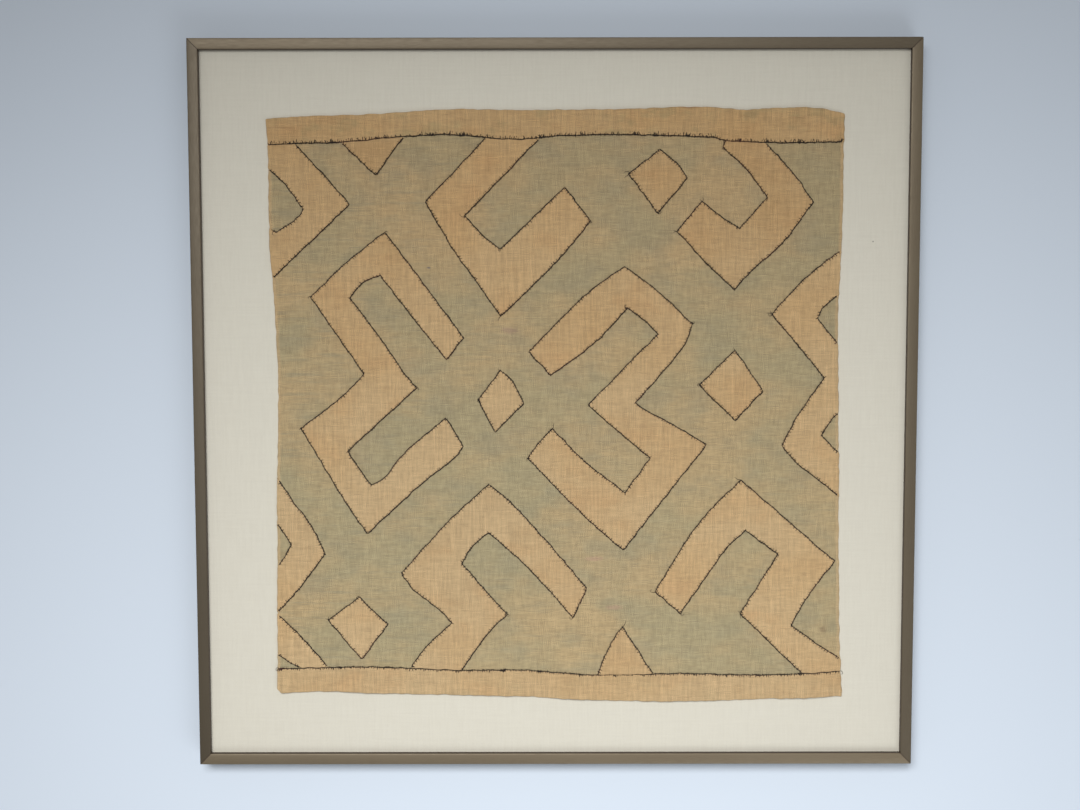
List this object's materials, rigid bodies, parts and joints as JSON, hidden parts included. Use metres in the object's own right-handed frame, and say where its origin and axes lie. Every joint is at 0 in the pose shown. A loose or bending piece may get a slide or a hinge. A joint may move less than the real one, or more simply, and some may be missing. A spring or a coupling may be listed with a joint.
{
  "type": "framed kuba raffia cloth",
  "caption": "Plain-woven raffia cloth with sewn-on hooks, zigzags and diamonds of undyed raffia, on a linen-covered board in a slim mitred frame.",
  "frame": {"origin": "middle of the frame's back, on the surface that it lies on", "axes": "+Z out of the cloth's face, +Y to the cloth's top edge, +X to its right seen from the front"},
  "size_m": [0.8, 0.805, 0.03],
  "materials": {
    "bronze_leaf": "satin",
    "mount_linen": "matte",
    "dyed_raffia": "matte",
    "undyed_raffia": "matte",
    "dark_thread": "matte"
  },
  "bodies": {
    "root": {"rail_bottom": "bronze_leaf", "rail_right": "bronze_leaf", "rail_top": "bronze_leaf", "rail_left": "bronze_leaf", "mount_board": "mount_linen", "ground_cloth": "dyed_raffia", "band_top": "undyed_raffia", "band_bottom": "undyed_raffia", "patch_hook_top_left": "undyed_raffia", "patch_triangle_top": "undyed_raffia", "patch_hook_top": "undyed_raffia", "patch_diamond_top": "undyed_raffia", "patch_hook_top_right": "undyed_raffia", "patch_zigzag_right": "undyed_raffia", "patch_zigzag_left": "undyed_raffia", "patch_diamond_centre": "undyed_raffia", "patch_zigzag_centre": "undyed_raffia", "patch_diamond_right": "undyed_raffia", "patch_hook_left": "undyed_raffia", "patch_corner_left": "undyed_raffia", "patch_diamond_left": "undyed_raffia", "patch_hook_bottom": "undyed_raffia", "patch_triangle_bottom": "undyed_raffia", "patch_hook_bottom_right": "undyed_raffia"}
  },
  "joints": []
}
